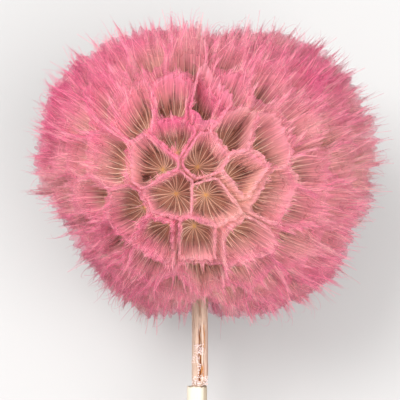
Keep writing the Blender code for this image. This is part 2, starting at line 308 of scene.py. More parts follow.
def barbs(starts, ends, radii):
    # straight hairs: a triangle of the given radius round the start, drawn to a point at the end
    along = unit(ends - starts)
    a, b = crosswise(along)
    turns = np.arange(3) * math.tau / 3
    ring = np.cos(turns)[:, None] * a[:, None] + np.sin(turns)[:, None] * b[:, None]
    points = np.concatenate((starts[:, None] + radii[:, None, None] * ring, ends[:, None]), axis=1)
    one = np.array(((0, 2, 1), (0, 1, 3), (1, 2, 3), (2, 0, 3)))
    return points, repeated(one, len(starts), 4)


def strands(starts, middles, ends, facing, width, height):
    # bent strands, pointed at both ends: the middle's section is a low triangle, middle +- width to the sides
    # and middle + height towards where it faces
    along = unit(ends - starts)
    side = unit(np.cross(along, facing))
    above = np.cross(side, along)
    waist = np.stack((middles - width * side, middles + width * side, middles + height * above), axis=1)
    points = np.concatenate((starts[:, None], waist, ends[:, None]), axis=1)
    one = np.array(((0, 1, 2), (0, 2, 3), (0, 3, 1), (4, 2, 1), (4, 3, 2), (4, 1, 3)))
    return points, repeated(one, len(starts), 5)


pappus = {
    "rays": 18,
    "bowl": 0.5,  # share of a ray over which the pappus opens to its full width
    "sweep": 2.2,  # how flat the bowl lies at the knob
    "rise": 1.6,  # how late it turns upwards
    "gap": 0.00002,  # from the rim to the edge of a fruit's own cell
    "edgeSteps": 181,  # turns at which that edge is worked out
    "lean": 0.0008,  # how far a pappus leans to one side at its rim
    "dents": (  # where the ball is worn: turn from x to y and rise to z in degrees, depth, half widths
        (334, 0, 0.0062, 12, 40), (298, 0, 0.0040, 7, 40), (209, 0, 0.0062, 9, 40), (92, 0, 0.0036, 12, 40),
        (190, 0, 0.0014, 12, 30), (5, 0, 0.0014, 10, 30), (270, 30, 0.0080, 8, 8),
    ),
    "combed": (0.84, 0.97),  # how far up a pappus must face for its rim to stay smooth
    "fade": 0.13,  # how much paler such a rim is
    "reach": 0.022,  # how much the rims' heights differ, as a share of the ball's radius
    "turned": 0.28,  # how unevenly the rays stand, as a share of their spacing
    "locks": 8,  # into which the hair gathers at the rim
    "gather": 0.70,  # how far it does
    "gatherFrom": 0.7,  # s from which, to which and how late it does
    "gatherTo": 1.1,
    "gatherPower": 1.5,
    "lockLean": 0.0009,  # how far a lock leans to one side
    "seed": 1000,  # of the first fruit's random values
}


class Cup:
    # One fruit's pappus. A point of it lies off the fruit's direction by edge(turn) * opened(s), where
    # opened(s) = 1 - (1 - s / bowl)^sweep, at the distance beakTip + (rim - beakTip) * s^rise. s goes from 0 at
    # the knob to 1 at the rim. The point is then moved by lift along the surface's own normal, which points
    # into the cup, and by lean * s^2.
    def __init__(self, fruit):
        self.rng = np.random.default_rng(pappus["seed"] + fruit)
        self.d = fruits[fruit]
        self.u, self.v = crosswise(self.d)
        # edge(turn) = the least arctan((1 - neighbour . d) / (neighbour . out)), halfway to a neighbour, but at
        # most widestCell
        self.turns = np.linspace(0, math.tau, pappus["edgeSteps"])
        outs = np.cos(self.turns)[:, None] * self.u + np.sin(self.turns)[:, None] * self.v
        towards = outs @ fruits.T
        apart = 1 - fruits @ self.d
        least, farOff = 1e-6, 9.0
        ratio = np.where(towards > least, apart / np.maximum(towards, least), farOff)
        self.edges = np.minimum(np.arctan(ratio.min(axis=1)), math.radians(headShape["widestCell"]))
        # rim = radius * (1 + reach) - depth * exp(-(turn / width)^2 - (rise / height)^2) for each dent
        self.rim = headShape["radius"] * (1 + self.rng.normal(0, pappus["reach"]))
        turn = math.degrees(math.atan2(self.d[1], self.d[0]))
        rise = math.degrees(math.asin(self.d[2]))
        for atTurn, atRise, depth, wide, tall in pappus["dents"]:
            across = ((turn - atTurn + 180) % 360 - 180) * math.cos(math.radians(rise)) / wide
            self.rim -= depth * math.exp(-(across**2) - ((rise - atRise) / tall) ** 2)
        self.combed = float(np.interp(self.d[2], pappus["combed"], (0, 1)))
        self.rays = self.around(pappus["rays"], pappus["turned"])
        self.locks = self.around(pappus["locks"], pappus["turned"])
        self.leans = self.rng.normal(0, pappus["lockLean"], (pappus["locks"], 3))
        sideways = self.rng.normal(0, pappus["lean"], (2, 1))
        self.lean = (sideways * (self.u, self.v)).sum(axis=0)

    def mixed(self, loose, combed):
        # the first for a loose pappus, the second for a combed one
        return (1 - self.combed) * loose + self.combed * combed

    def around(self, many, unevenness):
        loose = self.rng.uniform(-unevenness, unevenness, many)
        return (np.arange(many) + loose) * math.tau / many

    def edge(self, turn):
        return np.interp(turn % math.tau, self.turns, self.edges)

    def nearestLock(self, turn):
        # its number, how far it is in turn, and how near: 1 at the lock and 0 halfway to the next
        away = (self.locks - turn[..., None] + math.pi) % math.tau - math.pi
        lock = np.abs(away).argmin(axis=-1)
        away = np.take_along_axis(away, lock[..., None], axis=-1)[..., 0]
        return lock, away, np.clip(1 - np.abs(away) * pappus["locks"] / math.pi, 0, 1)

    def hairPoint(self, turn, s, lift=0.0):
        # The point for hair that gathers into locks: its turn moves to the nearest lock's by gather * g and
        # it leans with it by lean * g, where g = ((s - gatherFrom) / (gatherTo - gatherFrom))^gatherPower.
        lock, away = self.nearestLock(turn)[:2]
        start, end, most = pappus["gatherFrom"], pappus["gatherTo"], 1.2
        g = np.clip((s - start) / (end - start), 0, most) ** pappus["gatherPower"]
        place = self.point(turn + away * pappus["gather"] * np.minimum(g, 1), s, lift)
        return place + self.leans[lock] * g[..., None]

    def point(self, turn, s, lift=0.0, outward=False):
        s = np.maximum(s, 0)
        left = np.clip(1 - s / pappus["bowl"], 0, 1)
        edge = self.edge(turn)
        grow = self.rim - headShape["beakTip"]
        far = headShape["beakTip"] + grow * s ** pappus["rise"]
        angle = edge * (1 - left ** pappus["sweep"]) - pappus["gap"] * (1 - left) / far
        out = np.cos(turn)[..., None] * self.u + np.sin(turn)[..., None] * self.v
        towards = np.cos(angle)[..., None] * self.d + np.sin(angle)[..., None] * out
        sideways = np.cos(angle)[..., None] * out - np.sin(angle)[..., None] * self.d
        # how fast the cup climbs and widens with s; least keeps it climbing a little at the knob
        least = 0.02
        climb = grow * pappus["rise"] * (s + least) ** (pappus["rise"] - 1)
        widen = far * edge * pappus["sweep"] / pappus["bowl"] * left ** (pappus["sweep"] - 1)
        normal = unit(widen[..., None] * towards - climb[..., None] * sideways)
        place = ballPoint(far, towards) + np.asarray(lift)[..., None] * normal + (s**2)[..., None] * self.lean
        return (place, normal) if outward else place


web = {
    "places": (0.02, 0.16, 0.32, 0.48, 0.64, 0.80, 0.90, 1.0),  # s of its rows, as shares of the rim's
    "lift": 0.00008,
    "rim": (1.00, 0.955),  # s where it ends: on a ray and between two
    "combedRim": (0.985, 0.95),
    "veilFrom": 0.74,  # s above which it thins to a veil, and how much later it does on a combed pappus
    "veilShift": 0.35,
    "raggedness": 0.022,
    "sag": 0.00025,  # between two rays
    "flare": 0.00055,  # how much thicker it is at its rim
    "flareFrom": 0.6,
    "soft": 0.9,
    "toneAt": (0.0, 0.3, 0.5, 0.8, 1.0, 1.15),  # s
    "tones": (0.36, 0.42, 0.54, 0.72, 0.84, 1.0),
    "paintedShade": (0.15, 0.26, 0.44, 0.66),  # s between which it is painted darker in streaks, a painted shade that stands for the shadowed inside of the head
    "darkness": (0.3, 1.0),  # how strong that painted shade is, from fruit to fruit
    "darkOnRay": 0.35,
    "streaks": 13.0,  # how fine its pattern is round the cup, and along it
    "streakLength": 2.0,
    "patternStep": 3.7,  # how far along that pattern the next fruit's starts
}


def webTone(cup, s):
    # tones at s, less fade * 2 * (s - 0.5) on a combed cup: brown in the bowl, cream-pink up the wall and
    # pink towards the rim
    tone = np.interp(s, web["toneAt"], web["tones"])
    return tone - pappus["fade"] * cup.combed * np.clip((s - 0.5) * 2, 0, 1)


def webLift(s):
    # lift + flare * ((s - flareFrom) / (1 - flareFrom))^2
    start = web["flareFrom"]
    return web["lift"] + web["flare"] * np.clip((s - start) / (1 - start), 0, 1.3) ** 2


def addWeb(bundle, cup, fruit):
    # The web between the rays: a thin closed skin over a grid of turn and s, which runs up the back and down
    # the front. Between two rays it sags by sag * sin(pi * s) and its rim is lower.
    many = pappus["rays"]
    onRay = np.arange(2 * many) % 2 == 0
    turn = np.repeat(cup.rays, 2)
    turn[1::2] += ((np.roll(cup.rays, -1) - cup.rays) % math.tau) / 2
    rim = cup.mixed(*(np.where(onRay, *web[key]) for key in ("rim", "combedRim")))
    rim = rim + cup.rng.normal(0, web["raggedness"], 2 * many)
    s = np.array(web["places"])[:, None] * rim
    turns = np.broadcast_to(turn, s.shape)
    sag = np.where(onRay, 0, web["sag"]) * np.sin(math.pi * s)
    back = cup.point(turns, s, sag)
    front = cup.point(turns, s, webLift(s) + sag)
    points = laid(np.concatenate((back, front[::-1])))
    rows, columns = s.shape
    loop = wrappedQuads(2 * rows + 1, columns) % (2 * rows * columns)
    # painted shade: low in the cup the web is darkened in streaks, standing for the shadowed inside of the head
    paintedShade = np.interp(s, web["paintedShade"], (0, 1, 1, 0)) * cup.rng.uniform(*web["darkness"])
    paintedShade = paintedShade * np.where(onRay, web["darkOnRay"], 1)
    s, turns, paintedShade = (np.concatenate((values, values[::-1])) for values in (s, turns, paintedShade))
    along = s * web["streakLength"] + fruit * web["patternStep"]
    grain = np.stack((np.cos(turns) * web["streaks"], np.sin(turns) * web["streaks"], along), -1)
    veiled = s.ravel()[loop].min(axis=1) > web["veilFrom"] + web["veilShift"] * cup.combed
    bundle.add(points, loop, webTone(cup, s), 0.5, web["soft"], -paintedShade, grain, slot=np.where(veiled, 2, 1))


rays = {
    "steps": 6,
    "crowding": 1.1,  # how much closer they stand near the knob
    "lift": 0.00008,
    "places": (0.0, 0.10, 0.45, 0.8, 1.4),  # s
    "width": (0.00014, 0.00011, 0.00009, 0.00005, 0.00002),  # radius there
    "tone": (0.28, 0.36, 0.54, 0.76, 0.95),
    "pale": (0.0, 0.8, 0.9, 0.2, 0.0),
    "vary": (0.5, 1.0),
    "sway": 0.03,  # radians by which a ray strays round the cup
    "soft": 0.6,
    "stoutEvery": 5,  # every so many is stouter and goes on past the rim with a bare tip
    "stoutness": (1.3, 0.9),  # of those and of the others
    "bareTip": (0.0005, 0.0045),
    "combedTip": 0.7,  # how much shorter that is on a combed pappus
    "plainTip": (-0.0012, 0.0010),
    "bendFrom": 0.93,  # s
    "hook": (0.45, 0.0003),  # how far a bare tip bends: this share of its length, plus this
    "fine": 22,  # thin straight ones between them in the bowl
    "fineRadius": 0.00005,
    "fineStart": 0.02,  # s
    "fineEnd": (0.22, 0.55),
    "fineLift": 0.0002,  # over the web, at its start
    "fineSway": 0.06,
    "fineTone": 0.38,
    "finePale": 0.75,
    "fineVary": (0.2, 1.0),
}


def addRays(bundle, cup):
    # rays follow the cup just inside its web; a bare tip runs on with a bend of hook * (s past bendFrom)^2
    rng, many = cup.rng, pappus["rays"]
    stout = np.arange(many) % rays["stoutEvery"] == 0
    bare = rng.uniform(*rays["bareTip"], many) * (1 - rays["combedTip"] * cup.combed)
    plain = rng.uniform(*rays["plainTip"], many)
    tip = np.where(stout, bare, plain)
    ends = 1 + tip / (cup.rim - headShape["beakTip"]) / pappus["rise"]
    s = np.linspace(0.0, 1.0, rays["steps"]) ** rays["crowding"] * ends[:, None]
    turn = cup.rays[:, None] + rng.normal(0, rays["sway"], many)[:, None] * s**2
    paths = cup.hairPoint(turn, s, webLift(s) + rays["lift"])
    start, (share, more) = rays["bendFrom"], rays["hook"]
    past = np.clip((s - start) / (ends[:, None] - start), 0, 1)[..., None] * stout[:, None, None]
    bend = unit(rng.normal(size=(many, 1, 3))) * (share * np.abs(tip) + more)[:, None, None]
    width = np.interp(s, rays["places"], rays["width"]) * np.where(stout, *rays["stoutness"])[:, None]
    points, triangles = tubes(laid(paths + bend * past**2), width, 3)
    tone, pale = (np.interp(s, rays["places"], rays[key])[:, :, None] for key in ("tone", "pale"))
    bundle.add(points, triangles, tone, rng.uniform(*rays["vary"], (many, 1, 1)), rays["soft"], pale)
    many = rays["fine"]
    turn = rng.uniform(0, math.tau, many)
    start = cup.point(turn, np.full(many, rays["fineStart"]), web["lift"] + rays["fineLift"])
    turn = turn + rng.normal(0, rays["fineSway"], many)
    end = cup.point(turn, rng.uniform(*rays["fineEnd"], many), web["lift"])
    points, triangles = barbs(laid(start), laid(end), np.full(many, rays["fineRadius"]))
    vary = rng.uniform(*rays["fineVary"], (many, 1))
    bundle.add(points, triangles, rays["fineTone"], vary, rays["soft"], rays["finePale"])


hairs = {
    "bowl": 30,  # fine ones that cross from ray to ray in the bowl
    "bowlRadius": 0.00003,
    "bowlStart": (0.08, 0.5),  # s
    "bowlClimb": (0.03, 0.16),
    "bowlCross": (0.4, 1.0),  # how much of the way to the next ray
    "bowlLift": 0.0003,
    "bowlTone": -0.04,  # off the web's
    "bowlVary": (0.2, 1.0),
    "wall": 215,  # long ones along the wall
    "wallRadius": (0.000025, 0.00005),
    "wallStart": (0.30, 0.85),
    "wallLength": (0.30, 0.70),
    "wallShort": 0.1,  # how far short of hairEnd they may stop
    "wallStray": (0.03, 0.04),  # radians by which their starts and ends stray
    "wallLift": (-0.0006, 0.0001),  # how far they stand off the web into the cup
    "fringe": 280,  # loose bent ones at the rim
    "fringeWidth": (0.000025, 0.000045),
    "fringeHeight": 1.2,  # over its width
    "fringeStart": (0.68, 0.95),
    "fringeEnd": (0.90, 1.17),  # s between two locks and at a lock
    "combedEnd": (0.93, 1.01),
    "fringeShort": 0.12,  # how far short of that it may stop, and how long it is at least
    "fringeLeast": 0.05,
    "stray": 0.14,  # radians by which the fringe strays round the cup
    "wool": (-0.0008, 0.0002),  # how far the fringe leans into the cup
    "curl": 0.0004,
    "toneStray": 0.03,
    "pale": 0.6,  # of the few that took the least dye
    "fewness": 3,
    "soft": 3.0,
}


def hairEnd(cup, turn):
    # s where hair ends, from its value between two locks to its value at a lock
    reach = cup.mixed(np.array(hairs["fringeEnd"]), np.array(hairs["combedEnd"]))
    return np.interp(cup.nearestLock(turn)[2], (0, 1), reach)


def addDyed(bundle, cup, made, s):
    # hair with the web's tone at s, a little off from hair to hair; each is pale by pale * random^fewness
    rng, many = cup.rng, len(s)
    tone = webTone(cup, s) + rng.normal(0, hairs["toneStray"], (many, 1))
    pale = rng.uniform(0, 1, (many, 1)) ** hairs["fewness"] * hairs["pale"]
    bundle.add(*made, tone, rng.uniform(0, 1, (many, 1)), hairs["soft"], pale)


def addBowlHairs(bundle, cup):
    # straight from (ray, s) to (ray + cross * spacing, s + climb)
    rng, many, spacing = cup.rng, hairs["bowl"], math.tau / pappus["rays"]
    s = rng.uniform(*hairs["bowlStart"], many)
    turn = rng.choice(cup.rays, many)
    lift = web["lift"] + rng.uniform(0, hairs["bowlLift"], many)
    start = cup.point(turn, s, lift)
    turn = turn + rng.choice((-1, 1), many) * spacing * rng.uniform(*hairs["bowlCross"], many)
    end = cup.point(turn, s + rng.uniform(*hairs["bowlClimb"], many), lift)
    points, triangles = barbs(laid(start), laid(end), np.full(many, hairs["bowlRadius"]))
    tone = webTone(cup, s)[:, None] + hairs["bowlTone"]
    bundle.add(points, triangles, tone, rng.uniform(*hairs["bowlVary"], (many, 1)), hairs["soft"])


def addWallHairs(bundle, cup):
    # straight from (turn + stray, s) to (turn + stray, s + length), each end off the web by its own lift
    rng, many = cup.rng, hairs["wall"]
    s0 = rng.uniform(*hairs["wallStart"], many)
    turn = rng.uniform(0, math.tau, many)
    longest = hairEnd(cup, turn) - rng.uniform(0, hairs["wallShort"], many)
    s1 = np.minimum(s0 + rng.uniform(*hairs["wallLength"], many), longest)
    lift = rng.uniform(*hairs["wallLift"], (2, many))
    places = []
    for s, stray, off in zip((s0, s1), hairs["wallStray"], lift):
        places.append(laid(cup.hairPoint(turn + rng.normal(0, stray, many), s, webLift(s) + off)))
    made = barbs(*places, rng.uniform(*hairs["wallRadius"], many))
    addDyed(bundle, cup, made, np.stack((*(s0,) * 3, s1), -1))


def addFringe(bundle, cup):
    # bent, from (turn, s0) to (turn + stray, s1) near the rim, leaning by wool, its middle moved by curl
    rng, many = cup.rng, hairs["fringe"]
    s0 = rng.uniform(*hairs["fringeStart"], many)
    turn = rng.uniform(0, math.tau, many)
    s1 = hairEnd(cup, turn) - rng.uniform(0, 1, many) ** 2 * hairs["fringeShort"]
    s1 = np.maximum(s1, s0 + hairs["fringeLeast"])
    halfway = (s0 + s1) / 2
    leans = rng.uniform(*hairs["wool"], many)
    start = cup.hairPoint(turn, s0, webLift(s0))
    middle = cup.hairPoint(turn, halfway, webLift(halfway) + 0.5 * leans)
    end = cup.hairPoint(turn + rng.normal(0, hairs["stray"], many), s1, webLift(s1) + leans)
    middle = middle + unit(rng.normal(size=(many, 3))) * hairs["curl"] * rng.uniform(0, 1, (many, 1))
    wide = rng.uniform(*hairs["fringeWidth"], (many, 1))
    facing = cup.point(turn, halfway, outward=True)[1] @ headAxes
    places = (laid(p) for p in (start, middle, end))
    made = strands(*places, facing, wide, wide * hairs["fringeHeight"])
    addDyed(bundle, cup, made, np.stack((s0, *(halfway,) * 3, s1), -1))


wisps = {
    "many": 8,  # long thin ones that curl beyond the rim
    "steps": 8,
    "start": 0.85,  # s where they leave the hair, and towards which they head
    "ahead": 1.05,
    "scatter": 0.0006,  # by which they miss that
    "length": (0.0045, 0.0105),
    "combed": 0.8,  # how much shorter they are on a combed pappus
    "radius": 0.00007,
    "taper": 1.15,  # their radius along t is radius * (taper - t)
    "curl": (0.4, 2.9),  # radians by which their tips have turned aside
    "tone": (0.86, 0.14),  # at their start, and how much it gains
}


def addWisps(bundle, cup):
    # path = hairPoint(turn, start) + length * the sum along t of
    # cos(curl * t^3) * outward + sin(curl * t^3) * side
    rng, many = cup.rng, wisps["many"]
    t = np.linspace(0, 1, wisps["steps"])[None, :, None]
    turn = rng.uniform(0, math.tau, many)
    foot = cup.hairPoint(turn, np.full(many, wisps["start"]), webLift(wisps["start"]))
    ahead = cup.hairPoint(turn, np.full(many, wisps["ahead"]), webLift(1.0))
    outward = unit(ahead - foot + rng.normal(0, wisps["scatter"], (many, 3)))[:, None]
    side = rng.normal(size=(many, 1, 3))
    side = unit(side - outward * (side * outward).sum(-1, keepdims=True))
    long = rng.uniform(*wisps["length"], (many, 1, 1)) * (1 - wisps["combed"] * cup.combed)
    bend = rng.uniform(*wisps["curl"], (many, 1, 1)) * t**3
    heading = np.cos(bend) * outward + np.sin(bend) * side
    advance = np.cumsum((heading[:, 1:] + heading[:, :-1]) / 2, axis=1) / (wisps["steps"] - 1)
    paths = foot[:, None] + long * np.concatenate((0 * heading[:, :1], advance), axis=1)
    points, triangles = tubes(laid(paths), wisps["radius"] * (wisps["taper"] - t[..., 0]), 3)
    tone, gain = wisps["tone"]
    bundle.add(points, triangles, tone + gain * t, 0.5, hairs["soft"])


achene = {
    "rings": (0.0, 0.04, 0.12, 0.24, 0.36, 0.48, 0.60, 0.80, 1.0),  # along seed body and beak
    "radii": (0.00035, 0.00050, 0.00062, 0.00068, 0.00055, 0.00036, 0.00022, 0.00017, 0.00020),
    "sides": 6,
    "bow": 0.0008,
    "toneAt": (0, 0.5, 0.75, 1),
    "tones": (0.02, 0.08, 0.20, 0.30),
    "vary": (0.2, 0.8),
    "knobRadii": (0.00020, 0.00050, 0.00066, 0.00046, 0.00012),
    "knobHeights": (-0.0005, -0.0001, 0.0002, 0.0005, 0.0006),
    "knobSides": 8,
    "knobTone": 0.30,
    "knobVary": 0.6,
    "footSpread": 0.00035,
    "seatGap": 0.0003,
}


def footPoint(d):
    # the fruit's place on the receptacle: its angle from the top is drawn up by lowestFoot / lowest
    polar = np.arccos(np.clip(d[1], -1, 1)) * headShape["lowestFoot"] / headShape["lowest"]
    level = max(math.hypot(d[0], d[2]), 1e-9)
    seat = knobRadius + achene["seatGap"]
    x, z = d[::2] / level * seat * math.sin(polar)
    return np.array((x, seat * math.cos(polar), z))


def addBody(bundle, cup, foot):
    # seed body and beak: radii over a line from the foot to the knob, bowed by bow * sin(pi * t)
    d, rng = cup.d, cup.rng
    tip = ballPoint(np.array(headShape["beakTip"]), d)
    t = np.array(achene["rings"])
    bow = unit(np.cross(d, rng.normal(size=3))) * rng.uniform(0, achene["bow"])
    path = foot + (tip - foot) * t[:, None] + bow * np.sin(math.pi * t)[:, None]
    points, triangles = tubes(toWorld(path)[None], np.array(achene["radii"]), achene["sides"])
    tone = np.interp(t, achene["toneAt"], achene["tones"])[None, :, None]
    bundle.add(points, triangles, tone, rng.uniform(*achene["vary"]))
    knob = toWorld(tip + d * np.array(achene["knobHeights"])[:, None])
    points, triangles = tubes(knob[None], np.array(achene["knobRadii"]), achene["knobSides"])
    bundle.add(points, triangles, achene["knobTone"], achene["knobVary"])


def node(tree, kind, **values):
    # a new shader node with its inputs and settings
    made = tree.nodes.new(kind)
    for key, value in values.items():
        if key in made.inputs:
            fill(tree, made.inputs[key], value)
        else:
            setattr(made, key, value)
    return made


def fill(tree, entry, source):
    # an input is linked to an output, or set to a number or a colour
    if isinstance(source, bpy.types.NodeSocket):
        tree.links.new(source, entry)
    else:
        entry.default_value = source


def mapped(tree, source, fromRange=(0.0, 1.0), toRange=(0.0, 1.0), clamp=True):
    # (source - from low) / (from high - from low) * (to high - to low) + to low
    made = node(tree, "ShaderNodeMapRange", clamp=clamp, Value=source)
    for name, value in zip(("From Min", "From Max", "To Min", "To Max"), (*fromRange, *toRange)):
        fill(tree, made.inputs[name], value)
    return made.outputs["Result"]


def calculated(tree, operation, *sources):
    made = node(tree, "ShaderNodeMath", operation=operation)
    for entry, source in zip(made.inputs, sources):
        fill(tree, entry, source)
    return made.outputs[0]


def mixture(tree, factor, first, second, blend="MIX"):
    made = node(tree, "ShaderNodeMix", data_type="RGBA", blend_type=blend)
    for name, source in (("Factor", factor), ("A", first), ("B", second)):
        fill(tree, made.inputs[name], source)
    return made.outputs["Result"]


def noise(tree, vector, scale, detail, roughness):
    made = node(tree, "ShaderNodeTexNoise", Vector=vector, Scale=scale, Detail=detail, Roughness=roughness)
    return made.outputs["Fac"]


def attribute(tree, name, output="Fac"):
    return node(tree, "ShaderNodeAttribute", attribute_name=name).outputs[output]


def newGroup(name, inputs, outputs):
    # an empty shader node group with named sockets, its inputs to read and its outputs to fill
    tree = bpy.data.node_groups.new(name, "ShaderNodeTree")
    for direction, sockets in (("INPUT", inputs), ("OUTPUT", outputs)):
        for socket, kind in sockets.items():
            tree.interface.new_socket(socket, in_out=direction, socket_type=f"NodeSocket{kind}")
    return tree, node(tree, "NodeGroupInput").outputs, node(tree, "NodeGroupOutput").inputs


def newMaterial(name, roughness):
    made = bpy.data.materials.new(name)
    made.use_nodes = True
    shader = made.node_tree.nodes["Principled BSDF"]
    shader.inputs["Roughness"].default_value = roughness
    return made, made.node_tree, shader


def colourRamp(tree, source, stops):
    ramp = node(tree, "ShaderNodeValToRGB", Fac=source)
    elements = ramp.color_ramp.elements
    for element, (place, colour) in zip(elements, (stops[0], stops[-1])):
        element.position, element.color = place, (*colour, 1)
    for place, colour in stops[1:-1]:
        elements.new(place).color = (*colour, 1)
    return ramp.outputs["Color"]


hairColours = {
    "stops": (
        (0.0, (0.22, 0.08, 0.05)),
        (0.18, (0.42, 0.20, 0.10)),
        (0.28, (0.82, 0.58, 0.20)),
        (0.36, (0.88, 0.49, 0.32)),
        (0.44, (0.86, 0.45, 0.34)),
        (0.54, (0.92, 0.45, 0.42)),
        (0.68, (0.93, 0.36, 0.41)),
        (0.80, (0.92, 0.26, 0.38)),
        (0.92, (0.88, 0.16, 0.32)),
        (1.0, (0.82, 0.10, 0.28)),
    ),
    "pale": (0.99, 0.84, 0.67),
    # the colour of the painted shade, which stands for the shadowed inside of the head
    "paintedShade": (0.20, 0.075, 0.060),
    "darkFrom": (0.40, 0.58),  # values of the fine pattern over which the painted shade's streaks set in
    "roughness": 0.8,
    "specular": 0.15,
    "blotchScale": 32.0,
    "blotchShift": 0.9,
    "blotchFrom": (0.50, 0.64),  # tones over which the blotches set in
    "blotchUntil": (0.76, 0.92),  # and over which they fade to tipBlotch
    "tipBlotch": 0.3,
    "streakFrom": (0.35, 0.65),
    "strandDim": (0.88, 1.06),
    "streakDim": (0.6, 1.15),  # of the web's fine pattern
    "webAlpha": 0.5,
    "veilAlpha": 0.26,
}


def dyedHair():
    # colour = ramp(tone + blotch shift, which sets in above the bowl's tones and fades towards the tips),
    # mixed towards pale by pale, or in the fine pattern's streaks towards the painted shade's colour by -pale
    # (painted shade for the shadowed inside of the head), * strand brightness * streak, where the streak goes
    # from streakLow to streakHigh with a noise read at the grain
    tree, given, result = newGroup(
        "dyed hair",
        {"tone": "Float", "vary": "Float", "pale": "Float", "grain": "Vector", "place": "Vector",
         "streakLow": "Float", "streakHigh": "Float"},
        {"colour": "Color"},
    )
    tone, half = given["tone"], hairColours["blotchShift"] / 2
    blotch = noise(tree, given["place"], hairColours["blotchScale"], 2.0, 0.5)
    shift = mapped(tree, blotch, toRange=(-half, half), clamp=False)
    begun = mapped(tree, tone, hairColours["blotchFrom"])
    ended = mapped(tree, tone, hairColours["blotchUntil"], (1.0, hairColours["tipBlotch"]))
    strength = calculated(tree, "MULTIPLY", begun, ended)
    moved = calculated(tree, "MULTIPLY_ADD", shift, strength, tone)
    dyed = colourRamp(tree, moved, hairColours["stops"])
    paler = mixture(tree, given["pale"], dyed, (*hairColours["pale"], 1))
    fine = noise(tree, given["grain"], 1.0, 3.0, 0.6)
    # painted shade: dark streaks in the fine pattern, as strong as -pale
    shadeStreaks = mapped(tree, fine, hairColours["darkFrom"], (-1.0, 0.0))
    darkness = calculated(tree, "MULTIPLY", given["pale"], shadeStreaks)
    darker = mixture(tree, darkness, paler, (*hairColours["paintedShade"], 1))
    dim = mapped(tree, given["vary"], toRange=hairColours["strandDim"])
    streak = mapped(tree, fine, hairColours["streakFrom"], (given["streakLow"], given["streakHigh"]))
    light = calculated(tree, "MULTIPLY", dim, streak)
    fill(tree, result["colour"], mixture(tree, 1.0, darker, light, "MULTIPLY"))
    return tree


def pappusMaterial(name, alpha, streakDim):
    made, tree, shader = newMaterial(name, hairColours["roughness"])
    shader.inputs["Specular IOR Level"].default_value = hairColours["specular"]
    shader.inputs["Alpha"].default_value = alpha
    effect = node(
        tree, "ShaderNodeGroup", node_tree=dyedHairGroup, streakLow=streakDim[0], streakHigh=streakDim[1],
        tone=attribute(tree, "tone"), vary=attribute(tree, "vary"), pale=attribute(tree, "pale"),
        grain=attribute(tree, "grain", "Vector"), place=node(tree, "ShaderNodeTexCoord").outputs["Object"],
    )
    fill(tree, shader.inputs["Base Color"], effect.outputs["colour"])
    return made


dyedHairGroup = dyedHair()
hairMaterial = pappusMaterial("pappus hair", 1.0, (1.0, 1.0))
webMaterial = pappusMaterial("pappus web", hairColours["webAlpha"], hairColours["streakDim"])
veilMaterial = pappusMaterial("pappus veil", hairColours["veilAlpha"], hairColours["streakDim"])
groupSize = headShape["groupSize"]
total = 0
for number in range(headShape["groups"]):
    bundle = Bundle()
    shared = footPoint(middles[number])
    for fruit in range(groupSize * number, groupSize * (number + 1)):
        cup = Cup(fruit)
        aside = footPoint(cup.d) - shared
        addBody(bundle, cup, shared + unit(aside) * achene["footSpread"])
        addWeb(bundle, cup, fruit)
        addRays(bundle, cup)
        addBowlHairs(bundle, cup)
        addWallHairs(bundle, cup)
        addFringe(bundle, cup)
        addWisps(bundle, cup)
    piece = bundle.piece(f"fruits_{number + 1:02d}", (hairMaterial, webMaterial, veilMaterial))
    total += len(piece.data.polygons)
    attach(piece, "root")
    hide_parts(f"seed_group_{number + 1:02d}")
print("fruits:", total, "triangles")


def turnedOut(points, triangles):
    # all triangles are turned over if the sum of a . (b x c), six times the volume they enclose, is below 0
    a, b, c = (points[triangles[:, k]] for k in range(3))
    return triangles[:, ::-1] if (a * np.cross(b, c)).sum() < 0 else triangles


def closedSkin(rings):
    # a skin over rings of equal size, closed at both ends on the middle of the ring, its faces outwards
    steps, sides = rings.shape[:2]
    points = np.concatenate((rings.reshape(-1, 3), rings[:1].mean(axis=1), rings[-1:].mean(axis=1)))
    here = np.arange(sides)
    there, last = (here + 1) % sides, (steps - 1) * sides
    bottom = np.stack((there, here, np.full(sides, steps * sides)), -1)
    top = np.stack((here + last, there + last, np.full(sides, steps * sides + 1)), -1)
    return points, turnedOut(points, np.concatenate((wrappedQuads(steps, sides), bottom, top)))


def roundAbout(radius, turn, y, x=0.0):
    # x + radius * sin(turn), y, radius * cos(turn), turn 0 on the side that faces up
    return np.stack(np.broadcast_arrays(x + radius * np.sin(turn), y, radius * np.cos(turn)), -1)


def blobs(centres, sizes, rng):
    # little lumps: an octahedron each, its corners pushed in and out
    corners = np.array(((1, 0, 0), (-1, 0, 0), (0, 1, 0), (0, -1, 0), (0, 0, 1), (0, 0, -1)), dtype=float)
    one = np.array(((0, 2, 4), (2, 1, 4), (1, 3, 4), (3, 0, 4), (2, 0, 5), (1, 2, 5), (3, 1, 5), (0, 3, 5)))
    points = centres[:, None] + sizes[:, None, None] * corners * rng.uniform(0.6, 1.3, (len(centres), 6, 1))
    return points, repeated(one, len(centres), 6)


